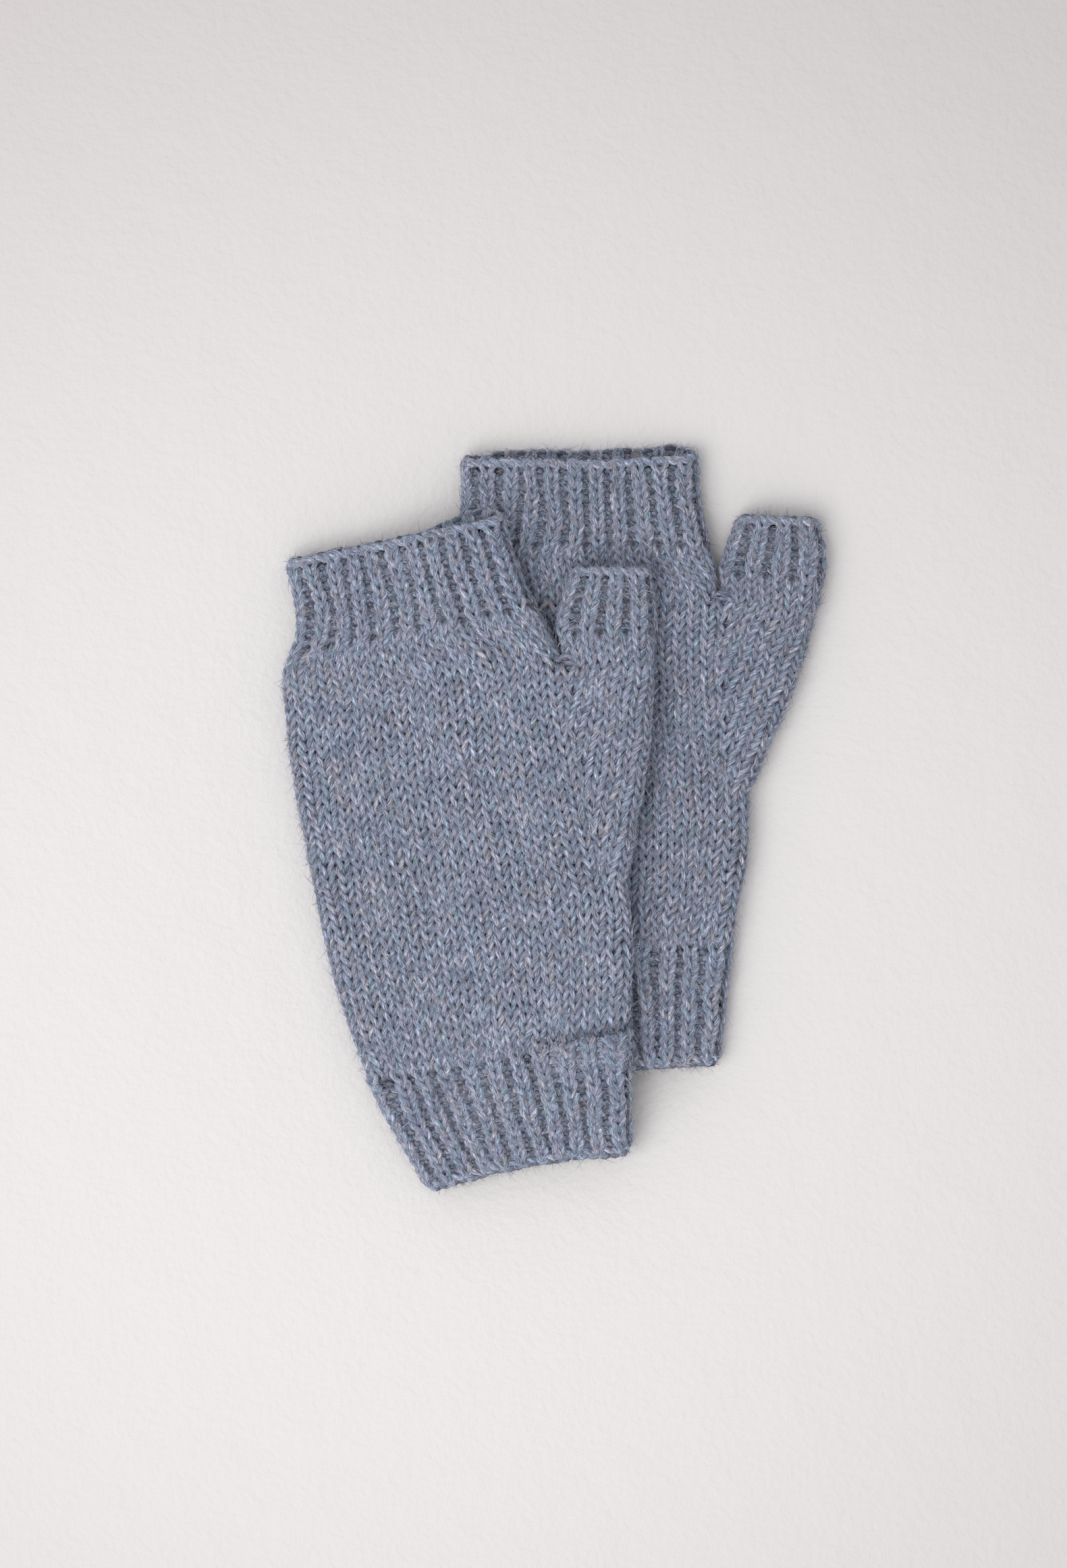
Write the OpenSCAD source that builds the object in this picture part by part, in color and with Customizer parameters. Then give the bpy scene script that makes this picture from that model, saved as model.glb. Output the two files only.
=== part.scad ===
// A pair of hand-knitted fingerless mitts, laid flat, the left one partly over the right one.
// Each mitt is a flattened tube: ribbed wrist cuff, plain hand with a thumb gusset, ribbed finger
// cuff, and a short thumb with its own ribbed cuff. Every opening ends in a cast-on or bind-off edge.
// Frame: +Y towards the fingers, +X towards the thumbs, +Z up from the surface they lie on.
// A point of the pattern is [u, v]: u across the mitt from its middle, v up from the wrist edge.

/* [Knitting] */
// Thickness of one layer of knitting
wall = 3; // [2.6:0.1:3.2]
// Height of one mitt lying flat: two layers and the space between them
lie_h = 11; // [10.6:0.1:12]
// Depth of a cast-on or bind-off edge along the mitt
edge_d = 3; // [2:0.5:4]

/* [Pattern lengths] */
// Wrist edge to the top of the wrist cuff
cuff_v = 36; // [30:1:40]
// Wrist edge to the foot of the thumb gusset
foot_v = 80; // [75:1:85]
// Wrist edge to the crotch, where the thumb leaves the hand
crotch_v = 146; // [142:1:150]
// Wrist edge to the start of the finger cuff
rib_v = 164; // [162:1:168]
// Whole length of a mitt
mitt_l = 191.5; // [186:0.5:196]
// Length of the plain part of the thumb
thumb_plain = 9; // [6:1:12]
// Whole length of the thumb
thumb_l = 28; // [24:0.5:30]

/* [How the mitts lie] */
// Middle of the right mitt's wrist edge, X
right_x = 18.9; // [17:0.1:21]
// Middle of the right mitt's wrist edge, Y
right_y = -73.6; // [-76:0.1:-72]
// Middle of the left mitt's wrist edge, X
left_x = -6.7; // [-8:0.1:-4]
// Middle of the left mitt's wrist edge, Y
left_y = -104; // [-107:0.1:-103]
// Turn of the left mitt on the surface, degrees
left_turn = 10.8; // [8:0.1:13]
// Turn of the right mitt at its wrist, degrees
right_turn = 3.4; // [1:0.1:5]
// Bend of the right mitt above its gusset foot, degrees
right_bend = -4.5; // [-7:0.1:-3]
// Length of the right mitt's upper half as it lies, over its pattern length
right_reach = 0.9; // [0.86:0.01:1]
// How much further the right mitt's thumb points outwards
right_splay = 2.5; // [0:0.5:4]
// Bend of the right mitt's thumb back towards the fingers, degrees
right_thumb_bend = 8; // [4:1:10]
// Extra width of the right mitt's finger cuff, on each side
right_spread = 2; // [0:0.5:3]
// How far the lower layer of the right finger cuff reaches past its upper one
right_peek = 3.5; // [0:0.5:5]
// How far the lower layer of the left finger cuff reaches past its upper one
left_peek = 5; // [0:0.5:6]
// Clear space between the left mitt and the right one under it
lay_gap = 0.9; // [0.7:0.1:1.5]
// Distance over which the left mitt comes down from the right one
drape = 34; // [28:1:40]
// Space at each thumb's fold line, so that the thumb can fold
fold_gap = 0.4; // [0.35:0.05:0.6]

/* [Hidden] */

fold_r = lie_h / 2;             // outer radius of the folds along the mitt's sides
fold_in = fold_r + 1;           // a row's inner stretch ends this far from its right fold
pile_h = lie_h + lay_gap;       // height of the left mitt's underside over the right mitt
over_edge = 4;                  // the left mitt is at full height this far inside the right one's fold
row_step = 6;                   // distance between rings along the mitt
fold_turns = 6;                 // facets round one fold
plain = "SlateGray";
ribbed = "LightSlateGray";
edging = "SteelBlue";

// Left and right edges of the hand's own tube: [v, u]
LEFT_EDGE = [[0, -30], [18, -36.5], [36, -42], [52, -45], [68, -46.8], [94, -47.5], [124, -47.6],
             [146, -46.4], [160, -44.3], [168, -38.6], [176, -36.6], [mitt_l, -36.8]];
RIGHT_EDGE = [[0, 30], [18, 33.2], [36, 36.3], [52, 40.5], [68, 43.3], [80, 44.2], [110, 42],
              [146, 37.4], [158, 35.6], [168, 31.6], [178, 29.2], [mitt_l, 28]];
// Right fold of the gusset, for the row that meets the hand at v: [v, u, drop below v]
GUSSET_U = [[foot_v, 44.2], [95, 49.6], [112, 56], [130, 61], [crotch_v, 63.9]];
GUSSET_DROP = [[foot_v, 0], [112, 2.2], [crotch_v, 4.8]];
// Folds of the thumb, by distance t from its fold line: [t, u, v]
THUMB_LEFT = [[0, 38.6, 146], [9, 38, 155], [18, 41.4, 164], [thumb_l, 46.6, 173.2]];
THUMB_RIGHT = [[0, 64.1, 141.2], [9, 65.8, 150], [18, 67.2, 159.2], [thumb_l, 67.4, 169]];

// One mitt: [wrist middle, turn, bend, reach of the upper half, thumb splay, lies on the other,
//            spread of the finger cuff, bend of the thumb, peek of the finger cuff's lower layer]
RIGHT = [[right_x, right_y], right_turn, right_bend, right_reach, right_splay, false,
         right_spread, right_thumb_bend, right_peek];
LEFT = [[left_x, left_y], left_turn, 0, 1, 0, true, 0, 0, left_peek];

function column(table, k) = [for (row = table) [row[0], row[k]]];
function clamp01(t) = max(0, min(1, t));
function ease(t) = let (c = clamp01(t)) c * c * (3 - 2 * c);

// Smooth curve through a table of [x, y] pairs, with the mean slope at each inner point
function slope(tb, i) =
    i == 0 ? (tb[1].y - tb[0].y) / (tb[1].x - tb[0].x) :
    i == len(tb) - 1 ? (tb[i].y - tb[i - 1].y) / (tb[i].x - tb[i - 1].x) :
    (tb[i + 1].y - tb[i - 1].y) / (tb[i + 1].x - tb[i - 1].x);
function span_at(tb, x) = max([0, for (i = [0 : len(tb) - 2]) if (tb[i].x <= x) i]);
function curve(tb, x) =
    let (i = span_at(tb, x), h = tb[i + 1].x - tb[i].x, t = (x - tb[i].x) / h,
         a = slope(tb, i) * h, b = slope(tb, i + 1) * h, d = tb[i + 1].y - tb[i].y)
    tb[i].y + t * (a + t * (3 * d - 2 * a - b + t * (a + b - 2 * d)));

// From the pattern to the surface: straight up to the gusset foot, then an arc
function across(a) = [cos(a), sin(a)];
function upward(a) = [-sin(a), cos(a)];
function turn_at(m, v) = m[1] + m[2] * max(0, v - foot_v) / (mitt_l - foot_v);
function arc_end(a0, a1, s) =
    let (r = s / ((a1 - a0) * PI / 180)) r * [cos(a1) - cos(a0), sin(a1) - sin(a0)];
function axis_at(m, v) =
    let (a = turn_at(m, v), s = (v - foot_v) * m[3])
    m[0] + (v <= foot_v ? v * upward(m[1]) :
            foot_v * upward(m[1]) + (a == m[1] ? s * upward(a) : arc_end(m[1], a, s)));
function place(m, p) = axis_at(m, p.y) + p.x * across(turn_at(m, p.y));

// Height of the surface that a mitt lies on: the left one climbs over the right one
RIGHT_SIDE = [for (row = LEFT_EDGE) let (p = place(RIGHT, [row.y, row.x])) [p.y, p.x]];
function ground(m, p) =
    m[5] ? pile_h * ease((p.x - lookup(p.y, RIGHT_SIDE) + drape) / (drape + over_edge))
                  * ease((p.y - right_y + drape) / drape) : 0;

// A row of knitting is a flattened loop. It is [left fold, inner end, right fold], all [u, v]
function hand_row(m, v) =
    let (wider = m[6] * ease((v - crotch_v) / (mitt_l - crotch_v) * 1.5),
         l = curve(LEFT_EDGE, v) - wider, r = curve(RIGHT_EDGE, v) + wider)
    [[l, v], [r - fold_in, v], [r, v]];
function gusset_row(m, v) =
    let (r = curve(GUSSET_U, v) + m[4] * clamp01((v - foot_v) / (crotch_v - foot_v)))
    [[curve(LEFT_EDGE, v), v],
     [(curve(RIGHT_EDGE, foot_v) * (crotch_v - v) + curve(RIGHT_EDGE, crotch_v) * (v - foot_v))
      / (crotch_v - foot_v) - fold_in, v],
     [r, v - curve(GUSSET_DROP, v)]];
function turned(p, a) = [p.x * cos(a) - p.y * sin(a), p.x * sin(a) + p.y * cos(a)];
function thumb_point(m, tb, t) =
    let (foot = [THUMB_LEFT[0][1], THUMB_LEFT[0][2]],
         p = [curve(column(tb, 1), t) + m[4] * (tb == THUMB_RIGHT ? 1 : 0.4 * t / thumb_l),
              curve(column(tb, 2), t)])
    foot + turned(p - foot, m[7] * t / thumb_l);
function thumb_row(m, t) =
    let (l = thumb_point(m, THUMB_LEFT, t), r = thumb_point(m, THUMB_RIGHT, t))
    [l, r - (r - l) * fold_in / norm(r - l), r];

function flat_spans(m) = m[5] ? 13 : 3;   // facets across a row: more on the mitt that is draped
function right_from(m) = 2 * flat_spans(m) + fold_turns;   // where a loop passes its inner end

// The loop as [q, z]: q along the row from its left fold, z up from the surface. It starts on top at
// the row's inner end, goes round the left fold and back underneath, then round the right fold.
function loop(m, row, inset) =
    let (spans = flat_spans(m), turns = fold_turns, w1 = norm(row[1] - row[0]), w = w1 + norm(row[2] - row[1]),
         r = fold_r - inset, top = fold_r + r, low = fold_r - r)
    concat([for (i = [0 : spans - 1]) [w1 + (fold_r - w1) * i / spans, top]],
           [for (i = [0 : turns]) let (a = 180 * i / turns)
               [fold_r - r * sin(a), fold_r + r * cos(a)]],
           [for (i = [1 : spans]) [fold_r + (w1 - fold_r) * i / spans, low]],
           [for (i = [1 : 2]) [w1 + (w - fold_r - w1) * i / 2, low]],
           [for (i = [1 : turns - 1]) let (a = 180 * i / turns)
               [w - fold_r + r * sin(a), fold_r - r * cos(a)]],
           [for (i = [0 : 1]) [w - fold_r + (w1 - w + fold_r) * i / 2, top]]);
function along(row, q) =
    let (w1 = norm(row[1] - row[0]))
    q <= w1 ? row[0] + (row[1] - row[0]) * q / w1
            : row[1] + (row[2] - row[1]) * (q - w1) / norm(row[2] - row[1]);
// The finger cuff's lower layer reaches further out than its upper layer
function past_end(m, row, qz) =
    m[8] * clamp01((row[0].y - rib_v) / (mitt_l - rib_v)) * (1 - qz.y / lie_h)
    * ease(1.6 * qz.x / norm(row[2] - row[0]));
function ring(m, row, inset, is_thumb) =
    [for (qz = loop(m, row, inset))
        let (p = along(row, qz.x) + [0, is_thumb ? 0 : past_end(m, row, qz)], xy = place(m, p))
        [xy.x, xy.y, qz.y + ground(m, xy)]];

// A wall of knitting over a grid of rings. keep(i, j) says which cells of the grid it covers.
module knitted(m, rows, is_thumb = false, keep = function (i, j) true) {
    outer = [for (row = rows) ring(m, row, 0, is_thumb)];
    inner = [for (row = rows) ring(m, row, wall, is_thumb)];
    n = len(outer[0]);
    last = len(rows) - 2;
    function at(skin, i, j) = skin * len(rows) * n + i * n + j % n;
    function on(i, j) = i >= 0 && i <= last && keep(i, (j + n) % n);
    function quad(a, b, c, d) = [[a, b, c], [a, c, d]];
    faces = [for (i = [0 : last], j = [0 : n - 1]) if (on(i, j)) each concat(
        quad(at(0, i, j), at(0, i, j + 1), at(0, i + 1, j + 1), at(0, i + 1, j)),
        quad(at(1, i, j), at(1, i + 1, j), at(1, i + 1, j + 1), at(1, i, j + 1)),
        on(i - 1, j) ? [] : quad(at(0, i, j), at(1, i, j), at(1, i, j + 1), at(0, i, j + 1)),
        on(i + 1, j) ? [] : quad(at(0, i + 1, j), at(0, i + 1, j + 1), at(1, i + 1, j + 1),
                                 at(1, i + 1, j)),
        on(i, j - 1) ? [] : quad(at(0, i, j), at(0, i + 1, j), at(1, i + 1, j), at(1, i, j)),
        on(i, j + 1) ? [] : quad(at(0, i, j + 1), at(1, i, j + 1), at(1, i + 1, j + 1),
                                 at(0, i + 1, j + 1)))];
    polyhedron(points = concat([for (r = outer) each r], [for (r = inner) each r]), faces = faces);
}

// Values from a to b in equal steps of about row_step
function steps(a, b) = let (k = max(1, ceil((b - a) / row_step))) [for (i = [0 : k]) a + (b - a) * i / k];
function hand_rows(m, a, b) = [for (v = steps(a, b)) hand_row(m, v)];
function thumb_rows(m, a, b) = [for (t = steps(a, b)) thumb_row(m, t)];

module cast_on(m) color(edging) knitted(m, hand_rows(m, 0, edge_d));
module wrist_cuff(m) color(ribbed) knitted(m, hand_rows(m, edge_d, cuff_v));
module finger_cuff(m) color(ribbed) knitted(m, hand_rows(m, rib_v, mitt_l - edge_d));
module finger_bind_off(m) color(edging) knitted(m, hand_rows(m, mitt_l - edge_d, mitt_l));

// The hand is a closed tube below and above the gusset, and open along its right side beside it
module hand_tube(m) {
    low = steps(cuff_v, foot_v);
    slit = steps(foot_v, crotch_v);
    inner_slit = [for (i = [1 : len(slit) - 2]) slit[i]];
    high = steps(crotch_v, rib_v);
    first = len(low) - 1;
    after = first + len(slit) - 1;
    color(plain) knitted(m,
        concat([for (v = low) hand_row(m, v)], [for (v = inner_slit) gusset_row(m, v)],
               [for (v = high) hand_row(m, v)]),
        keep = function (i, j) i < first || i >= after || j < right_from(m));
}

// The gusset closes the hand's right side with a wedge that widens up to the crotch
module thumb_gusset(m) {
    color(plain) knitted(m, [for (v = steps(foot_v, crotch_v)) gusset_row(m, v)],
                         keep = function (i, j) j >= right_from(m));
}

module thumb(m) color(plain) knitted(m, thumb_rows(m, fold_gap, thumb_plain), true);
module thumb_cuff(m) color(ribbed) knitted(m, thumb_rows(m, thumb_plain, thumb_l - edge_d), true);
module thumb_bind_off(m) color(edging) knitted(m, thumb_rows(m, thumb_l - edge_d, thumb_l), true);

cast_on(RIGHT);  // right_cast_on
wrist_cuff(RIGHT);  // right_wrist_cuff
hand_tube(RIGHT);  // right_hand_tube
thumb_gusset(RIGHT);  // right_thumb_gusset
finger_cuff(RIGHT);  // right_finger_cuff
finger_bind_off(RIGHT);  // right_finger_bind_off
thumb(RIGHT);  // right_thumb
thumb_cuff(RIGHT);  // right_thumb_cuff
thumb_bind_off(RIGHT);  // right_thumb_bind_off
cast_on(LEFT);  // left_cast_on
wrist_cuff(LEFT);  // left_wrist_cuff
hand_tube(LEFT);  // left_hand_tube
thumb_gusset(LEFT);  // left_thumb_gusset
finger_cuff(LEFT);  // left_finger_cuff
finger_bind_off(LEFT);  // left_finger_bind_off
thumb(LEFT);  // left_thumb
thumb_cuff(LEFT);  // left_thumb_cuff
thumb_bind_off(LEFT);  // left_thumb_bind_off
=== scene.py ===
"""A pair of hand-knitted fingerless mitts. Every stitch is a loop of yarn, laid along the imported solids."""
import math

import bpy
import numpy as np
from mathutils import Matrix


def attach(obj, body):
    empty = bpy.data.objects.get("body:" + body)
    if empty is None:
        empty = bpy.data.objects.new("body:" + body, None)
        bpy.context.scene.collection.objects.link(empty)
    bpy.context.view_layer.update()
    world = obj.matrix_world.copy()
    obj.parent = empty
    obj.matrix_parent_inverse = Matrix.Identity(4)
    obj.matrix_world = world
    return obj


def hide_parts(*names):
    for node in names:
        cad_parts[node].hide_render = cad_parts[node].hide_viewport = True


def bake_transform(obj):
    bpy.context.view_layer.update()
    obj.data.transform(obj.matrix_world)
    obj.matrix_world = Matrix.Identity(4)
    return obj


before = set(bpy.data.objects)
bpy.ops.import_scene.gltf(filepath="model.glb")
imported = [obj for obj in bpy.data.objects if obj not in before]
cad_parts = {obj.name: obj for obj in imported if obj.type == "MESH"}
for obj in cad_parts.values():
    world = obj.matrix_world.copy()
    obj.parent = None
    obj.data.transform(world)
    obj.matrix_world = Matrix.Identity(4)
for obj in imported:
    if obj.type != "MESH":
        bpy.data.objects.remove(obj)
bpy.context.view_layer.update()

MM = 0.001
TAU = 2 * math.pi
rng = np.random.default_rng(11)

# ---------------------------------------------------------------- driving dimensions, mm, as in the CAD model
WALL, LIE_H, EDGE_D = 3.0, 11.0, 3.0
CUFF_V, FOOT_V, CROTCH_V, RIB_V, MITT_L = 36.0, 80.0, 146.0, 164.0, 191.5
THUMB_PLAIN, THUMB_L = 9.0, 28.0
LAY_GAP, DRAPE, OVER_EDGE = 0.9, 34.0, 4.0
FOLD_R = LIE_H / 2
FOLD_IN = FOLD_R + 1
PILE_H = LIE_H + LAY_GAP
MID_R = FOLD_R - WALL / 2                # radius of the middle of the wall round a fold
BEND = MID_R * math.pi / 2               # from a fold's outermost line to where the flat part starts

LEFT_EDGE = np.array([[0, -30], [18, -36.5], [36, -42], [52, -45], [68, -46.8], [94, -47.5], [124, -47.6],
                      [146, -46.4], [160, -44.3], [168, -38.6], [176, -36.6], [MITT_L, -36.8]])
RIGHT_EDGE = np.array([[0, 30], [18, 33.2], [36, 36.3], [52, 40.5], [68, 43.3], [80, 44.2], [110, 42],
                       [146, 37.4], [158, 35.6], [168, 31.6], [178, 29.2], [MITT_L, 28]])
GUSSET_U = np.array([[FOOT_V, 44.2], [95, 49.6], [112, 56], [130, 61], [CROTCH_V, 63.9]])
GUSSET_DROP = np.array([[FOOT_V, 0], [112, 2.2], [CROTCH_V, 4.8]])
THUMB_LEFT = np.array([[0, 38.6, 146], [9, 38, 155], [18, 41.4, 164], [THUMB_L, 46.6, 173.2]])
THUMB_RIGHT = np.array([[0, 64.1, 141.2], [9, 65.8, 150], [18, 67.2, 159.2], [THUMB_L, 67.4, 169]])

# at, turn: where the wrist edge's middle lies, and which way the mitt points, in degrees.
# bend, reach: how the part above the gusset's foot curves, in degrees, and stretches.
# splay, spread, thumb_bend: how far the gusset, the finger cuff and the thumb open out.
# peek, peek_from: how far the lower wall shows past the upper one at the fingers, and from which part of the
# width on. rise: how far the finger edge rises towards the thumb. hem: how far the wrist edge bows up.
# over: whether the mitt lies on the other one.
RIGHT = dict(side="right", at=(18.9, -73.6), turn=3.4, bend=-4.5, reach=0.9, splay=2.5, spread=2.0,
             thumb_bend=8.0, peek=4.6, peek_from=-0.1, hem=0.0, rise=2.2, over=False)
LEFT = dict(side="left", at=(-6.7, -104.0), turn=10.8, bend=0.0, reach=1.0, splay=0.0, spread=0.0,
            thumb_bend=0.0, peek=3.8, peek_from=0.5, hem=2.2, rise=0.0, over=True)

# ---------------------------------------------------------------- the knitting, mm and stitches
HAND_WALES = 22                          # stitch columns on one face of the hand
PALM_WALES = 20                          # of them, those beside the gusset
THUMB_WALES = 8                          # on one face of the thumb
GUSSET_START, GUSSET_END = 2, 8          # on one face of the gusset, at its foot and at the crotch
CROTCH_REACH = 16.0                      # how far from the crotch the stitches draw together or spread
CROTCH_EXTRA = 6.0                       # how much further the palm's stitches reach at the crotch
THUMB_DRAW = 0.135                       # how much narrower the gusset's stitches get as they near the thumb
GUSSET_ROUND = 0.65                      # a new stitch of the gusset starts once it is 1 - this wide
WRIST_ROWS, LOWER_ROWS, GUSSET_ROWS = 11, 14, 21
PALM_ROWS = 11                           # of the rows beside the gusset, those in the piece called hand_palm
KNUCKLE_ROWS, FINGER_ROWS = 6, 8
THUMB_ROWS, THUMB_RIB_ROWS = 3, 6
SAMPLES = 16                             # points on one stitch
EDGE_SAMPLES = 7                         # and on a stitch of an edge

# ---------------------------------------------------------------- a loop of yarn, mm
YARN_R = 0.96                            # radius of the yarn
HEAD_WIDE, LEG_THIN = 1.30, 0.38         # its radius at a loop's head, and what the legs lose, in yarn radii
LOOP_LEAN = 0.262                        # how far a loop's shoulders reach out, in stitch widths
RIB_LEAN = 0.27                          # the same in ribs
LOOP_OVER = 1.1                          # how far a loop reaches past its row, at its head and its feet
LOOP_DEPTH = 0.80                        # how far its legs stand out, and its head and feet lie back
LOOP_ROUND = 0.15                        # how much of that it arches in between
LOOP_BIAS, RIB_BIAS = 0.08, 0.30         # how much further a loop's first leg stands out than its second
RIB_DEPTH = 0.95                         # how far a rib's knit columns stand out, and its purl ones lie back
RIB_WIDTH = 0.30                         # how much wider than its share a rib's knit column is
RIB_TURN = 2.2                           # how fast a rib's loops turn over from knit to purl
SIDES = 8                                # corners of the yarn's section
FLOOR_GAP = 0.03                         # no yarn is lower than this
STRAND_GAP = 3.7                         # between two strands in the yarn's own coordinates

# ---------------------------------------------------------------- the unevenness of hand knitting
# From stitch to stitch: shares of the lean and of the yarn's radius, and mm along the mitt and out of it
JITTER_LEAN, JITTER_R, JITTER_V, JITTER_H = 0.06, 0.05, 0.09, 0.05
RELAX_S, RELAX_V, RELAX_H = 0.28, 0.3, 0.32  # how far stitches wander round the mitt, along it and out of it
THUMB_RELAX = 0.2                        # and along the thumb
RELAX_EASE = 6.0                         # how far from the left fold the upper wall wanders out in full
WAVE_REACH = 0.7, 1.6                    # how short and how long the waves of one wander are, by its reach
LEFT_KEY, THUMB_KEY = 300, 600           # where in the same waves the left mitt and the thumbs start

# ---------------------------------------------------------------- edges, the crotch and the crease, mm
SPREAD_EASE = 1.5                        # how early the finger cuff has spread
THUMB_SPLAY = 0.4                        # share of the splay that the thumb's inner side takes
PEEK_EASE = 0.4                          # part of the width in which the lower wall comes out to its peek
RISE_FROM, RISE_OVER = 0.55, 0.45        # part of the width where the finger edge starts to rise, and its run
UNDER_PRESS = 0.4                        # how much less the loops stand out underneath, pressed on the floor
CAST_ON_V = 1.9                          # where the middle of the cast-on edge lies
CAST_WIDE, CAST_TALL = 0.62, 0.72        # how far its two strands wind along the wall and out of it
CAST_BULGE = 1.3                         # how far it bulges down at each rib
CAST_JITTER, CAST_JITTER_H, CAST_JITTER_R = 0.10, 0.06, 0.04
CHAIN_WIDE, CHAIN_TALL = 0.56, 0.60      # how far a bound-off edge's two strands wind
CHAIN_RISE = 0.55                        # how far the chain stands out of the middle of the wall
CHAIN_JITTER, CHAIN_JITTER_R = 0.08, 0.06
FINGER_IN, THUMB_IN = 0.8, 0.9           # how far inside the edge the chain's middle lies
TUCK = 1.3                               # how far a cuff's last row reaches under the edge's strands
TUCK_UP = 0.5                            # and how much further under a bound-off edge
RIM_DEPTH = 1.25                         # how far out of the wall an edge's strands count, for their painted shade
RIM_RELIEF = 0.5                         # and how much of their winding counts
CAST_SUNK = 0.2                          # how much less that is at the cast-on edge
RIM_UNDER = 1.3                          # how much further on the lower wall, whose inner side shows and is painted lighter
RIM_INSIDE = 1.9                         # the same for the rows next to the finger edge
RIM_FLIP = 1.4                           # how much their own relief counts the other way there
RIM_REACH, RIM_EASE = 9.0, 3.0           # how far below the edge both start, and how soon they are full
CROTCH_STITCHES = 6                      # from the upper wall to the lower one
CROTCH_TIERS = (-3.3, 0.5), (-1.7, 0.0), (0.2, 0.9)  # a tier above the crotch, and inside the walls
CROTCH_HALF, CROTCH_BOW, CROTCH_SLANT = 3.4, 1.8, 0.4  # half a stitch's length, and how it bows and slants
CROTCH_TILT = 0.2                        # how far up its strands' fronts look
CROTCH_OUT = 0.9                         # how far out of the wall they count, for their painted shade
CREASE_FROM, CREASE_EASE = 48.0, 14.0    # where round the left wrist the crease starts, and its run to full
CREASE_UP, CREASE_BELOW, CREASE_RUN = 1.0, 12.0, 8.0  # how far the cuff stands out, and from where below
CREASE_DOWN, CREASE_ABOVE = 0.9, 5.0     # how far the hand lies back, and up to how far above the cuff

# ---------------------------------------------------------------- loose fibres, mm
HAIR_TURN = 2                            # turns round the yarn from here up mark a loose fibre
HAIR_POINTS = 3
HAIR_SPREAD = 0.9                        # how far round the yarn from its front the fibres start, radians
# Scatter, lift, length, bow and radius of a fibre lying on the yarn, and of one standing out
FLAT_FIBRE = 0.30, 0.05, 2.5, 0.08, 0.080
HALO_FIBRE = 0.70, 0.42, 3.0, 0.40, 0.024
HALO_SHARE = 0.14                        # of all the fibres
HAIR_TAPER = 0.7                         # how much thinner a fibre is at its end
HAIR_ROOT, HAIR_LOW = 0.05, 0.08         # how deep in the yarn it starts, and the lowest it goes
HAIR_LENGTHS = 4.0, 0.25                 # shape and scale of how their lengths are spread round the usual one
HAIR_LONGEST = 2                         # times the usual one
HAIR_RISE = 0.15                         # how much further out of the knitting a fibre counts than its yarn, for the painted shade


def ease(t):
    c = np.clip(t, 0, 1)
    return c * c * (3 - 2 * c)


def curve(table, x, k=1):
    """Smooth curve through column k of a table over its column 0, with the mean slope at each inner point."""
    xs, ys = table[:, 0], table[:, k]
    slopes = np.gradient(ys, xs)
    slopes[1:-1] = (ys[2:] - ys[:-2]) / (xs[2:] - xs[:-2])
    i = np.clip(np.searchsorted(xs, x, side="right") - 1, 0, len(xs) - 2)
    h = xs[i + 1] - xs[i]
    t = (x - xs[i]) / h
    a, b, d = slopes[i] * h, slopes[i + 1] * h, ys[i + 1] - ys[i]
    return ys[i] + t * (a + t * (3 * d - 2 * a - b + t * (a + b - 2 * d)))


def pairs(u, v):
    return np.stack(np.broadcast_arrays(u, v), -1).astype(float)


def turn_at(m, v):
    return np.radians(m["turn"] + m["bend"] * np.maximum(0, v - FOOT_V) / (MITT_L - FOOT_V))


def place(m, p):
    """From the pattern's [u, v] to the surface's [x, y]: straight to the gusset's foot, then an arc."""
    u, v = p[..., 0], p[..., 1]
    a0, a = math.radians(m["turn"]), turn_at(m, v)
    low = np.minimum(v, FOOT_V)
    x = m["at"][0] - low * math.sin(a0)
    y = m["at"][1] + low * math.cos(a0)
    beyond = np.maximum(0, v - FOOT_V) * m["reach"]
    if m["bend"]:
        r = (MITT_L - FOOT_V) * m["reach"] / math.radians(m["bend"])
        x, y = x + r * (np.cos(a) - math.cos(a0)), y + r * (np.sin(a) - math.sin(a0))
    else:
        x, y = x - beyond * math.sin(a0), y + beyond * math.cos(a0)
    return pairs(x + u * np.cos(a), y + u * np.sin(a))


UNDER_SIDE = place(RIGHT, LEFT_EDGE[:, ::-1])


def ground(m, xy):
    """Height of what a mitt lies on: the left one climbs over the right one."""
    if not m["over"]:
        return np.zeros(xy.shape[:-1])
    side = np.interp(xy[..., 1], UNDER_SIDE[:, 1], UNDER_SIDE[:, 0])
    return (PILE_H * ease((xy[..., 0] - side + DRAPE) / (DRAPE + OVER_EDGE))
            * ease((xy[..., 1] - RIGHT["at"][1] + DRAPE) / DRAPE))


def hand_row(m, v):
    """A row of the hand above or below the gusset: [left fold, inner end, right fold], each [u, v]."""
    wider = m["spread"] * ease((v - CROTCH_V) / (MITT_L - CROTCH_V) * SPREAD_EASE)
    right = curve(RIGHT_EDGE, v) + wider
    return pairs(curve(LEFT_EDGE, v) - wider, v), pairs(right - FOLD_IN, v), pairs(right, v)


def gusset_row(m, v):
    """A row that runs on through the gusset, whose right fold drops below the row's height in the hand."""
    t = (v - FOOT_V) / (CROTCH_V - FOOT_V)
    foot, crotch = curve(RIGHT_EDGE, FOOT_V), curve(RIGHT_EDGE, CROTCH_V)
    right = curve(GUSSET_U, v) + m["splay"] * np.clip(t, 0, 1)
    return (pairs(curve(LEFT_EDGE, v), v), pairs(foot + (crotch - foot) * t - FOLD_IN, v),
            pairs(right, v - curve(GUSSET_DROP, v)))


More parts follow.
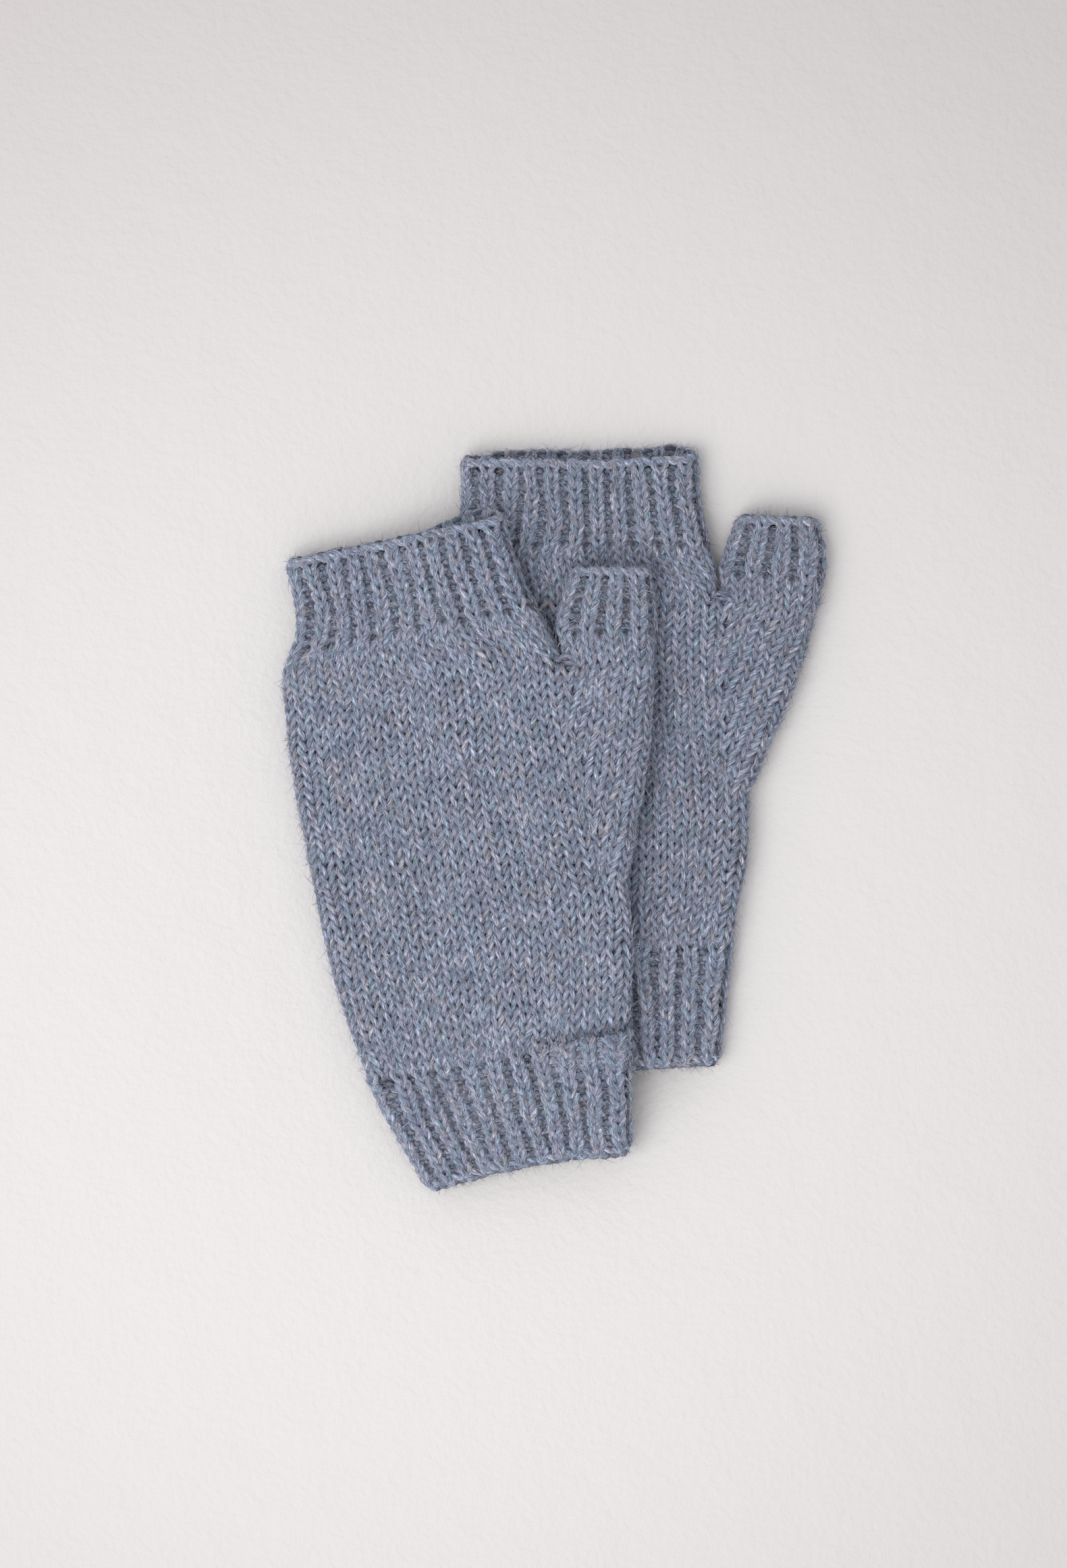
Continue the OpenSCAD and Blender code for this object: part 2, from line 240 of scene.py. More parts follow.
def thumb_edge(m, table, t):
    """One side of the thumb at t along it, swung about the crotch."""
    reach = m["splay"] * (1 if table is THUMB_RIGHT else THUMB_SPLAY * t / THUMB_L)
    foot = THUMB_LEFT[0, 1:]
    u = curve(table, t, 1) + reach - foot[0]
    v = curve(table, t, 2) - foot[1]
    a = np.radians(m["thumb_bend"] * t / THUMB_L)
    return pairs(foot[0] + u * np.cos(a) - v * np.sin(a), foot[1] + u * np.sin(a) + v * np.cos(a))


def thumb_row(m, t):
    left, right = thumb_edge(m, THUMB_LEFT, t), thumb_edge(m, THUMB_RIGHT, t)
    way = right - left
    return left, right - way * FOLD_IN / np.linalg.norm(way, axis=-1, keepdims=True), right


def half_round(row):
    """Half the way round a row, along the middle of the wall."""
    left, inner, right = row
    width = np.linalg.norm(inner - left, axis=-1) + np.linalg.norm(right - inner, axis=-1)
    return width - 2 * FOLD_R + 2 * BEND


def up_cuff(v):
    """From 0 where the finger cuff starts to 1 at its edge."""
    return np.clip((v - RIB_V) / (MITT_L - RIB_V), 0, 1)


def shift_edges(m, p, across, height):
    """Moves the hand's edges along it. across and height run from 0 to 1, across the mitt and up."""
    p[..., 1] += m["peek"] * up_cuff(p[..., 1]) * (1 - height) * ease((across - m["peek_from"]) / PEEK_EASE)
    p[..., 1] += m["rise"] * ease((across - RISE_FROM) / RISE_OVER) * up_cuff(p[..., 1])
    p[..., 1] += m["hem"] * 4 * np.clip(across * (1 - across), 0, 1) * np.clip(1 - p[..., 1] / CUFF_V, 0, 1)


def on_mitt(m, row, s, h, of_hand=True):
    """Points at s round the rows and h out of the middle of the wall, and the way out there.
    s runs from the left fold's outermost line, over the top where positive and underneath where negative."""
    left, inner, right = row
    w1 = np.linalg.norm(inner - left, axis=-1)
    w2 = np.linalg.norm(right - inner, axis=-1)
    w = w1 + w2
    a, up = np.abs(s), np.where(s < 0, -1.0, 1.0)
    flat_end = BEND + w - 2 * FOLD_R
    turn = np.where(a < BEND, a / MID_R, np.where(a > flat_end, (a - flat_end) / MID_R, 0))
    is_left, is_right = a < BEND, a > flat_end
    nq = np.where(is_left, -np.cos(turn), np.where(is_right, np.sin(turn), 0))
    nz = up * np.where(is_left, np.sin(turn), np.where(is_right, np.cos(turn), 1))
    q = np.where(is_left, FOLD_R, np.where(is_right, w - FOLD_R, FOLD_R + a - BEND)) + MID_R * nq
    h = np.where((nz < 0) & (h > 0), h * (1 + UNDER_PRESS * nz), h)
    z = FOLD_R + MID_R * nz + h * nz
    q = q + h * nq
    first = (q / w1)[..., None]
    second = ((q - w1) / w2)[..., None]
    p = np.where(first <= 1, left + (inner - left) * first, inner + (right - inner) * second)
    if of_hand:
        shift_edges(m, p, q / w, z / LIE_H)
    xy = place(m, p)
    a = turn_at(m, p[..., 1])
    out = np.stack([nq * np.cos(a), nq * np.sin(a), nz], -1)
    return np.concatenate([xy, (z + ground(m, xy))[..., None]], -1), out


class Wander:
    """Smooth seeded unevenness over the pattern: a few waves in random directions."""

    def __init__(self, reach, waves=7):
        turn = rng.uniform(0, TAU, waves)
        size = TAU / (reach * rng.uniform(*WAVE_REACH, waves))
        self.kx, self.ky = size * np.cos(turn), size * np.sin(turn)
        self.phase = rng.uniform(0, TAU, waves)

    def __call__(self, x, y):
        waves = np.sin(np.multiply.outer(x, self.kx) + np.multiply.outer(y, self.ky) + self.phase)
        return waves.sum(-1) / math.sqrt(len(self.phase) / 2)


SHIFT_S, SHIFT_V, SHIFT_H = Wander(16), Wander(14), Wander(22)


def uneven(q, size):
    """One random value for each stitch, run together smoothly from stitch to stitch."""
    lo, hi = int(np.floor(q.min())) - 1, int(np.ceil(q.max())) + 1
    values = rng.normal(0, size, hi - lo + 1)
    return np.interp(q, np.arange(lo, hi + 1) + 0.5, values)


def loops(q0, q1, samples=SAMPLES):
    """Stitch coordinates along a row from q0 to q1. A whole number is between two stitches."""
    return np.linspace(q0, q1, int(round((q1 - q0) * samples)) + 1)


def yarn_run(q, v, row_h, ribbed):
    """The yarn through a row of loops, as [stitch coordinate, v, height out of the wall, radius]."""
    over = 0.5 * row_h + LOOP_OVER
    knit = np.sin(math.pi * q) if ribbed else np.ones_like(q)
    face = np.sign(knit) * np.minimum(1, np.abs(knit) * RIB_TURN)
    lean = (RIB_LEAN if ribbed else LOOP_LEAN) * (1 + uneven(q, JITTER_LEAN))
    across = q + lean * np.sin(2 * TAU * q)
    if ribbed:
        across = across - RIB_WIDTH / math.pi * np.cos(math.pi * across)
    swing = -np.cos(2 * TAU * q)
    out = LOOP_DEPTH * (swing + LOOP_ROUND * (1 - swing ** 2)) * face + (RIB_DEPTH * knit if ribbed else 0)
    out = out + (RIB_BIAS if ribbed else LOOP_BIAS) * np.sin(TAU * q) * np.maximum(face, 0)
    legs = 0.5 - 0.5 * np.cos(2 * TAU * q)
    radius = YARN_R * (HEAD_WIDE - LEG_THIN * legs) * (1 + uneven(q, JITTER_R))
    return across, v - over * np.cos(TAU * q) + uneven(q, JITTER_V), out + uneven(q, JITTER_H), radius


def strand(points, out, radius, depth, closed=False):
    """A length of yarn. depth is how far its middle counts as standing out of the wall's middle,
    which sets its painted shade: yarn that lies deep in the knitting is painted dark."""
    return dict(points=points, out=out, radius=radius, depth=depth, closed=closed)


def relax(m, s, v, h):
    """Adds the unevenness of hand knitting to pattern coordinates."""
    key = s + (LEFT_KEY if m["over"] else 0)
    on_top = ease(s / RELAX_EASE)
    return (s + RELAX_S * SHIFT_S(key, v), v + RELAX_V * SHIFT_V(key, v),
            h + RELAX_H * SHIFT_H(key, v) * on_top)


def crease(m, s, v):
    """How far out the left mitt's wrist cuff stands near its right end. Above it the hand lies back."""
    if not m["over"]:
        return 0
    cuff = CREASE_UP * ease((v - CUFF_V + CREASE_BELOW) / CREASE_RUN)
    hand = -CREASE_DOWN * (1 - ease((v - CUFF_V) / CREASE_ABOVE))
    return ease((s - CREASE_FROM) / CREASE_EASE) * np.where(v < CUFF_V, cuff, hand)


def hand_strand(m, v, row_h, ribbed=False):
    """One round of the hand where it is a closed tube. Just above the crotch the stitches cast on there are
    narrow."""
    q = loops(-HAND_WALES, HAND_WALES)
    across, v, h, radius = yarn_run(q, v, row_h, ribbed)
    half = half_round(hand_row(m, v))
    pitch = half / HAND_WALES
    if v.mean() > CROTCH_V:
        crotch_pitch = palm_reach(m, np.array(CROTCH_V)) / PALM_WALES
        pitch = crotch_pitch + (pitch - crotch_pitch) * ease((v - CROTCH_V) / CROTCH_REACH)
    new_pitch = (half - PALM_WALES * pitch) / (HAND_WALES - PALM_WALES)
    count = np.abs(across)
    s = np.minimum(count, PALM_WALES) * pitch + np.maximum(0, count - PALM_WALES) * new_pitch
    s = np.where(across < 0, -s, s)
    h = h + crease(m, s, v)
    s, v, lifted = relax(m, s, v, h)
    points, out = on_mitt(m, hand_row(m, v), s, lifted)
    # near the finger edge the lower wall's inner side shows, and its painted shade is made lighter
    rim = np.where(s < 0, ease((v - MITT_L + RIM_REACH) / RIM_EASE), 0)
    depth = h + rim * (RIM_INSIDE - RIM_FLIP * h)
    return strand(points[:-1], out[:-1], radius[:-1], depth[:-1], closed=True)


def palm_reach(m, v):
    """From the left fold to the line where the gusset's stitches start."""
    foot = half_round(hand_row(m, np.array(FOOT_V))) * PALM_WALES / HAND_WALES
    crotch = half_round(hand_row(m, np.array(CROTCH_V))) * PALM_WALES / HAND_WALES
    return foot + (crotch + CROTCH_EXTRA - foot) * (v - FOOT_V) / (CROTCH_V - FOOT_V)


def palm_strand(m, v, row_h):
    """One round beside the gusset, as far as the gusset on both faces."""
    q = loops(-PALM_WALES, PALM_WALES)
    across, v, h, radius = yarn_run(q, v, row_h, False)
    s, v, lifted = relax(m, across * palm_reach(m, v) / PALM_WALES, v, h)
    points, out = on_mitt(m, gusset_row(m, v), s, lifted)
    return strand(points, out, radius, h)


def gusset_count(v):
    """Stitches on one face of the gusset at v. The part of a stitch is the width of one just added."""
    return GUSSET_START + (GUSSET_END - GUSSET_START) * (v - FOOT_V) / (CROTCH_V - FOOT_V)


def gusset_strand(m, v, row_h):
    """The rest of that round, through the gusset. Its stitches are counted from the right fold."""
    wales = int(math.floor(gusset_count(v) + GUSSET_ROUND))
    g = loops(-wales, wales)
    across, v, h, radius = yarn_run(g, v, row_h, False)
    row = gusset_row(m, v)
    room = half_round(row) - palm_reach(m, v)
    pitch = room / gusset_count(v) - THUMB_DRAW * ease((v - CROTCH_V + CROTCH_REACH) / CROTCH_REACH)
    last = room - (wales - 1) * pitch
    d = np.abs(across)
    d = np.minimum(d, wales - 1) * pitch + np.maximum(0, d - wales + 1) * last
    sign = np.where(across < 0, -1.0, 1.0)
    s, v, lifted = relax(m, sign * (half_round(row) - d), v, h)
    points, out = on_mitt(m, gusset_row(m, v), s, lifted)
    return strand(points, out, radius, h)


def thumb_strand(m, t, row_h, ribbed=False):
    """One round of the thumb."""
    q = loops(-THUMB_WALES, THUMB_WALES)
    across, t, h, radius = yarn_run(q, t, row_h, ribbed)
    s = across * half_round(thumb_row(m, t)) / THUMB_WALES
    t = t + THUMB_RELAX * SHIFT_V(s + THUMB_KEY, t)
    points, out = on_mitt(m, thumb_row(m, t), s, h, of_hand=False)
    return strand(points[:-1], out[:-1], radius[:-1], h[:-1], closed=True)


def crotch_strands(m):
    """Stitches cast on between hand and thumb, in three tiers from the upper wall to the lower one."""
    t = np.linspace(-1, 1, SAMPLES)
    a = math.radians(m["turn"])
    made = []
    for above, inside in CROTCH_TIERS:
        for z in np.linspace(WALL / 2 + inside, LIE_H - WALL / 2 - inside, CROTCH_STITCHES):
            bowed = CROTCH_V + above + CROTCH_BOW * (1 - t ** 2)
            xy = place(m, pairs(THUMB_LEFT[0, 1] + CROTCH_HALF * t, bowed))
            height = z + CROTCH_SLANT * np.sin(math.pi * t) + ground(m, xy)
            out = np.tile([-math.sin(a), math.cos(a), CROTCH_TILT], (SAMPLES, 1))
            made.append(strand(np.concatenate([xy, height[:, None]], -1), out, np.full(SAMPLES, YARN_R),
                               np.full(SAMPLES, CROTCH_OUT)))
    return made


def bind_off(m, row_of, wales, v):
    """A chain along an edge: two strands twisted round each other, lying on the ends of the last row."""
    made = []
    for start in (0, math.pi):
        q = loops(-wales, wales, EDGE_SAMPLES)[:-1]
        twist = math.pi * q + start
        row = row_of(m, v + CHAIN_WIDE * np.cos(twist) + uneven(q, CHAIN_JITTER))
        h = CHAIN_RISE + CHAIN_TALL * np.sin(twist) + uneven(q, CHAIN_JITTER)
        points, out = on_mitt(m, row, q * half_round(row) / wales, h, row_of is hand_row)
        # the lower wall's strands get lighter painted shade, as their inner side shows
        depth = RIM_DEPTH + RIM_RELIEF * np.sin(twist) + np.where(q < 0, RIM_UNDER, 0)
        radius = YARN_R * (1 + uneven(q, CHAIN_JITTER_R))
        made.append(strand(points, out, radius, depth, closed=True))
    return made


def cast_on(m, v):
    """Two strands twisted round each other along the wrist edge, bulging a little at each rib."""
    made = []
    for start in (0, math.pi):
        q = loops(-HAND_WALES, HAND_WALES, EDGE_SAMPLES)[:-1]
        twist = math.pi * q + start
        bulge = CAST_BULGE * np.maximum(0, np.sin(math.pi * q))
        row = hand_row(m, v + CAST_WIDE * np.cos(twist) - bulge + uneven(q, CAST_JITTER))
        h = CAST_TALL * np.sin(twist) + uneven(q, CAST_JITTER_H)
        points, out = on_mitt(m, row, q * half_round(row) / HAND_WALES, h)
        radius = YARN_R * (1 + uneven(q, CAST_JITTER_R))
        made.append(strand(points, out, radius, RIM_DEPTH - CAST_SUNK + RIM_RELIEF * h, closed=True))
    return made


def rounds(a, b, count):
    """The middles of count rows between a and b, and the height of one."""
    step = (b - a) / count
    return [a + step * (i + 0.5) for i in range(count)], step


def hand_band(m, a, b, count, ribbed=False):
    """count rounds of the hand between a and b."""
    middles, step = rounds(a, b, count)
    return [hand_strand(m, v, step, ribbed) for v in middles]


def knit_mitt(m):
    """All the yarn of one mitt, as lists of strands for each piece."""
    side = m["side"]
    middles, step = rounds(FOOT_V, CROTCH_V, GUSSET_ROWS)
    palm = [palm_strand(m, v, step) for v in middles]
    plain, plain_step = rounds(0, THUMB_PLAIN, THUMB_ROWS)
    rib, rib_step = rounds(THUMB_PLAIN, THUMB_L - EDGE_D + TUCK + TUCK_UP, THUMB_RIB_ROWS)
    return {
        side + "_cast_on": (cast_on(m, CAST_ON_V), "cast_on", "edge_knit"),
        side + "_wrist_cuff": (hand_band(m, EDGE_D - TUCK, CUFF_V, WRIST_ROWS, True), "wrist_cuff",
                               "ribbed_knit"),
        side + "_hand_wrist_half": (hand_band(m, CUFF_V, FOOT_V, LOWER_ROWS), "hand_tube", "plain_knit"),
        side + "_hand_palm": (palm[:PALM_ROWS], "hand_tube", "plain_knit"),
        side + "_hand_knuckles": (palm[PALM_ROWS:] + hand_band(m, CROTCH_V, RIB_V, KNUCKLE_ROWS), "hand_tube",
                                  "plain_knit"),
        side + "_thumb_gusset": ([gusset_strand(m, v, step) for v in middles] + crotch_strands(m),
                                 "thumb_gusset", "plain_knit"),
        side + "_finger_cuff": (hand_band(m, RIB_V, MITT_L - EDGE_D + TUCK + TUCK_UP, FINGER_ROWS, True),
                                "finger_cuff", "ribbed_knit"),
        side + "_finger_bind_off": (bind_off(m, hand_row, HAND_WALES, MITT_L - FINGER_IN), "finger_bind_off",
                                    "edge_knit"),
        side + "_thumb": ([thumb_strand(m, t, plain_step) for t in plain], "thumb", "plain_knit"),
        side + "_thumb_cuff": ([thumb_strand(m, t, rib_step, True) for t in rib], "thumb_cuff",
                               "ribbed_knit"),
        side + "_thumb_bind_off": (bind_off(m, thumb_row, THUMB_WALES, THUMB_L - THUMB_IN), "thumb_bind_off",
                                   "edge_knit"),
    }


def unit(a):
    return a / np.maximum(np.linalg.norm(a, axis=-1, keepdims=True), 1e-9)


def frame_of(s):
    """A strand's tangents, sides, fronts and mm along at its points, and after them its whole length."""
    p, closed = s["points"], s["closed"]
    tangent = unit(np.roll(p, -1, 0) - np.roll(p, 1, 0)) if closed else unit(np.gradient(p, axis=0))
    side = unit(np.cross(tangent, s["out"]))
    steps = np.linalg.norm(np.diff(np.vstack([p, p[:1]]) if closed else p, axis=0), axis=1)
    return tangent, side, np.cross(side, tangent), np.concatenate([[0], np.cumsum(steps)])


def tube(s):
    """One strand as corners, faces and, for each face corner, yarn coordinates [mm along, turns round]."""
    p, closed, sides, n = s["points"], s["closed"], SIDES, len(s["points"])
    tangent, side, front, along = frame_of(s)
    phi = TAU * (np.arange(sides) + 0.5) / sides - math.pi / 2
    ring = side[:, None] * np.cos(phi)[:, None] + front[:, None] * np.sin(phi)[:, None]
    corners = p[:, None] + ring * s["radius"][:, None, None]
    depth = s["depth"][:, None] + s["radius"][:, None] * np.sin(phi)
    segments = n if closed else n - 1
    i = np.arange(segments)[:, None]
    k = np.arange(sides)[None]
    j, k2 = (i + 1) % n, (k + 1) % sides
    faces = np.stack([i * sides + k, i * sides + k2, j * sides + k2, j * sides + k], -1).reshape(-1, 4)
    lo, hi = along[:segments][:, None] + 0 * k, along[1:segments + 1][:, None] + 0 * k
    turn = (k + 0.5) / sides + 0 * i
    step = 1 / sides
    grain = np.stack([np.stack([lo, turn], -1), np.stack([lo, turn + step], -1),
                      np.stack([hi, turn + step], -1), np.stack([hi, turn], -1)], -2)
    return corners.reshape(-1, 3), faces, grain.reshape(-1, 2), depth.ravel(), along[-1]


def build(name, strands):
    """Joins strands into one closed mesh object."""
    corners, faces, grain, caps, depth = [], [], [], [], []
    base, start = 0, 0.0
    for s in strands:
        c, f, g, d, length = tube(s)
        corners.append(c)
        depth.append(d)
        faces.append(f + base)
        grain.append(g + (start, 0))
        if not s["closed"]:
            caps.append(np.arange(SIDES)[::-1] + base)
            caps.append(np.arange(SIDES) + base + len(c) - SIDES)
        base += len(c)
        start += length + STRAND_GAP
    yarn = np.concatenate(grain + [np.zeros((len(caps) * SIDES, 2))])
    caps = np.array(caps).reshape(-1, SIDES)
    return make_mesh(name, np.concatenate(corners), np.concatenate(faces), caps, yarn, texture_place(yarn),
                     np.concatenate(depth))


def link(name, data):
    obj = bpy.data.objects.new(name, data)
    bpy.context.scene.collection.objects.link(obj)
    return obj


def make_mesh(name, corners, faces, caps, yarn, place_in_map, depth):
    """A mesh object from four-cornered faces and end caps, with the yarn's coordinates, a map for textures
    and the depth in the knitting, which sets the painted shade."""
    corners[:, 2] = np.maximum(corners[:, 2], FLOOR_GAP)
    mesh = bpy.data.meshes.new(name)
    mesh.vertices.add(len(corners))
    mesh.vertices.foreach_set("co", (corners * MM).astype(np.float32).ravel())
    index = np.concatenate([faces.ravel(), caps.ravel()]).astype(np.int32)
    sizes = np.concatenate([np.full(len(faces), 4), np.full(len(caps), caps.shape[1])]).astype(np.int32)
    mesh.loops.add(len(index))
    mesh.loops.foreach_set("vertex_index", index)
    mesh.polygons.add(len(sizes))
    mesh.polygons.foreach_set("loop_start", np.concatenate([[0], np.cumsum(sizes)[:-1]]).astype(np.int32))
    mesh.polygons.foreach_set("use_smooth", np.ones(len(sizes), bool))
    mesh.update(calc_edges=True)
    mesh.uv_layers.new(name="yarn").data.foreach_set("uv", yarn.astype(np.float32).ravel())
    mesh.uv_layers.new(name="OFBake").data.foreach_set("uv", place_in_map.astype(np.float32).ravel())
    mesh.attributes.new("depth", "FLOAT", "POINT").data.foreach_set("value", depth.astype(np.float32))
    return link(name, mesh)


def frames(strands):
    """Every point of the strands: place, tangent, side and front of the yarn, radius, mm along as in build()
    and depth."""
    found, start = [], 0.0
    for s in strands:
        p = s["points"]
        tangent, side, front, along = frame_of(s)
        found.append((p, tangent, side, front, s["radius"], start + along[:len(p)], s["depth"]))
        start += along[-1] + STRAND_GAP
    return [np.concatenate(part) for part in zip(*found)]


def fibre_faces(count):
    """The sides and the end caps of count fibres, each HAIR_POINTS triangles of corners joined up."""
    first = 3 * (np.arange(count)[:, None, None] * HAIR_POINTS + np.arange(HAIR_POINTS - 1)[:, None])
    k, k2 = np.arange(3), (np.arange(3) + 1) % 3
    faces = np.stack([first + k, first + k2, first + 3 + k2, first + 3 + k], -1).reshape(-1, 4)
    ends = first[:, 0]
    return faces, np.concatenate([ends + [2, 1, 0], ends + 3 * (HAIR_POINTS - 1) + [0, 1, 2]])


def fibre_cells(count):
    """Gives each fibre a small square of its own in the map for textures."""
    rows = math.ceil(math.sqrt(count))
    cell = np.stack([np.arange(count) % rows, np.arange(count) // rows], -1)[:, None]
    square = np.array([(0.15, 0.15), (0.85, 0.15), (0.85, 0.85), (0.15, 0.85)])
    sides = ((cell + np.tile(square, (3 * (HAIR_POINTS - 1), 1))) / rows).reshape(-1, 2)
    tips = np.tile(((cell + square[:3]) / rows).reshape(-1, 2), (2, 1))
    return np.concatenate([sides, tips])


def fuzz(name, strands, count):
    """Loose fibres lying on the yarn and standing out of it, each a thin three-sided tube that narrows to its
    end. Their turns round the yarn are counted from HAIR_TURN, and from one more where a fibre stands out."""
    parts = frames(strands)
    pick = rng.integers(0, len(parts[0]), count)
    p, tangent, side, front, girth, along, deep = (part[pick] for part in parts)
    round_at = rng.normal(math.pi / 2, HAIR_SPREAD, (count, 1))
    normal = side * np.cos(round_at) + front * np.sin(round_at)
    ahead = tangent * rng.choice([-1, 1], (count, 1))
    stands = rng.random((count, 1)) < HALO_SHARE
    kinds = zip(FLAT_FIBRE, HALO_FIBRE)
    scatter, lift, length, bow, radius = (np.where(stands, halo, flat) for flat, halo in kinds)
    way = unit(ahead + np.cross(ahead, normal) * rng.normal(0, 1, (count, 1)) * scatter
               + normal * np.abs(rng.normal(0, 1, (count, 1))) * lift)
    size = length * np.minimum(rng.gamma(*HAIR_LENGTHS, (count, 1)), HAIR_LONGEST)
    drift = (rng.normal(0, 1, (count, 3)) - normal) * bow

    t = np.linspace(0, 1, HAIR_POINTS)[:, None]
    root = p + normal * (girth[:, None] - HAIR_ROOT)
    path = root[:, None] + (way * size)[:, None] * t + (drift * size)[:, None] * t ** 2
    path[..., 2] = np.maximum(path[..., 2], HAIR_LOW)
    across = unit(np.cross(way, normal + 0.01))
    up = np.cross(across, way)
    k = TAU * np.arange(3)[:, None] / 3
    ring = across[:, None] * np.cos(k) + up[:, None] * np.sin(k)
    taper = radius[:, None] * (1 - HAIR_TAPER * t ** 2)
    corners = path[:, :, None] + ring[:, None] * taper[..., None]

    grain = np.stack([along, HAIR_TURN + stands[:, 0] + (round_at[:, 0] / TAU) % 1], -1)
    yarn = np.concatenate([grain.repeat(12 * (HAIR_POINTS - 1), 0), np.tile(grain.repeat(3, 0), (2, 1))])
    depth = (deep + girth * np.sin(round_at[:, 0])).repeat(3 * HAIR_POINTS) + HAIR_RISE
    return make_mesh(name, corners.reshape(-1, 3), *fibre_faces(count), yarn, fibre_cells(count), depth)


def texture_place(yarn):
    """Lays the yarn's unrolled surface on a square in strips that don't overlap."""
    spare, margin, low, tall = 1.12, 2.5, 0.04, 0.82
    total = yarn[:, 0].max() + 1
    wide = math.sqrt(total * TAU * YARN_R * spare)
    faces_start = yarn[:len(yarn) // 4 * 4, 0].reshape(-1, 4)[:, 0].repeat(4)
    start = np.concatenate([faces_start, yarn[len(faces_start):, 0]])
    strip = np.floor(start / wide)
    rows = math.ceil(total / wide) + 1
    return np.stack([(yarn[:, 0] - strip * wide) / (wide + margin),
                     (strip + low + yarn[:, 1] * tall) / rows], -1)


# ---------------------------------------------------------------- materials
PLY_PITCH = 6.5                          # mm of yarn to one turn of its two plies
FIBRE_PITCH = 14.0                       # and to one turn of its fibres

# Ramps over a noise, as (position, colour) stops. The first is the wool's hue, and the others multiply it.
TINTS = [(0.32, (0.27, 0.35, 0.415)), (0.42, (0.27, 0.322, 0.45)), (0.50, (0.315, 0.342, 0.425)),
         (0.58, (0.332, 0.34, 0.455)), (0.68, (0.37, 0.365, 0.405))]
FIBRE_TONES = [(0.32, (0.36, 0.37, 0.40)), (0.45, (0.76, 0.76, 0.78)), (0.55, (1.03, 1.03, 1.02)),
               (0.68, (1.65, 1.63, 1.58))]
FINE_TONES = [(0.32, (0.30, 0.30, 0.32)), (0.5, (0.94, 0.94, 0.94)), (0.68, (2.0, 1.98, 1.92))]
HAIR_TONES = [(0.0, (0.62, 0.63, 0.65)), (0.5, (1.05, 1.05, 1.05)), (1.0, (1.5, 1.48, 1.44))]
SLOW_TONES = [(0.30, (0.83, 0.87, 0.93)), (0.50, (0.98, 0.99, 1.0)), (0.70, (1.14, 1.12, 1.06))]
HAIR_COLOUR, HALO_COLOUR = (0.56, 0.58, 0.635), (0.36, 0.36, 0.37)
DEPTH_FROM, DEPTH_SCALE = 2.0, 0.25      # from a depth in mm to a position in the ramp of painted shade over it
# One wool, painted a little darker on the right mitt and darker or lighter in each knit below: painted shade
# and light
SIDE_LIGHT = {"right": 0.965, "left": 1.0}
KNITS = {                                # slot: (name, brightness, painted shade's tone of yarn half-way out of the knitting)
    "plain_knit": ("plain", 0.84, 0.80),
    "ribbed_knit": ("rib", 0.785, 0.90),
    "edge_knit": ("edge", 0.96, 0.80),
}

POOL_AT = (-0.03, -0.035, 0.0)           # m, the middle of a painted pool of light on the floor
POOL_START, POOL_END = 0.10, 0.44        # m from there, between which painted shade makes it a little darker
POOL_COLOUR, PAINTED_FALLOFF_COLOUR = (0.775, 0.752, 0.745), (0.60, 0.560, 0.557)


class Nodes:
    """A small helper that adds and links nodes of one material."""

    def __init__(self, name):
        self.mat = bpy.data.materials.new(name)
        self.mat.use_nodes = True
        self.tree = self.mat.node_tree
        self.tree.nodes.clear()

    def add(self, kind, inputs=None, **settings):
        node = self.tree.nodes.new("ShaderNode" + kind)
        for key, value in settings.items():
            setattr(node, key, value)
        for key, value in (inputs or {}).items():
            if isinstance(value, bpy.types.NodeSocket):
                self.tree.links.new(value, node.inputs[key])
            else:
                node.inputs[key].default_value = value
        return node

    def maths(self, operation, a, b=0.0):
        return self.add("Math", {0: a, 1: b}, operation=operation).outputs[0]

    def noise(self, vector, scale, detail=2.0, rough=0.5):
        node = self.add("TexNoise", {"Vector": vector, "Scale": scale, "Detail": detail, "Roughness": rough})
        return node.outputs["Fac"]

    def ramp(self, fac, stops):
        node = self.add("ValToRGB", {"Fac": fac})
        ramp = node.color_ramp
        while len(ramp.elements) < len(stops):
            ramp.elements.new(0.5)
        for element, (at, colour) in zip(ramp.elements, stops):
            element.position = at
            element.color = (*colour, 1)
        return node.outputs["Color"]

    def mix(self, fac, a, b, blend="MIX"):
        node = self.add("Mix", data_type="RGBA", blend_type=blend)
        for key, value in ((0, fac), (6, a), (7, b)):
            if isinstance(value, bpy.types.NodeSocket):
                self.tree.links.new(value, node.inputs[key])
            else:
                node.inputs[key].default_value = (*value, 1) if isinstance(value, tuple) else value
        return node.outputs[2]

    def finish(self, colour, height, strength, distance, settings):
        bump = self.add("Bump", {"Height": height, "Strength": strength, "Distance": distance}).outputs[0]
        shader = self.add("BsdfPrincipled", {"Base Color": colour, "Normal": bump, **settings})
        self.add("OutputMaterial", {0: shader.outputs[0]})


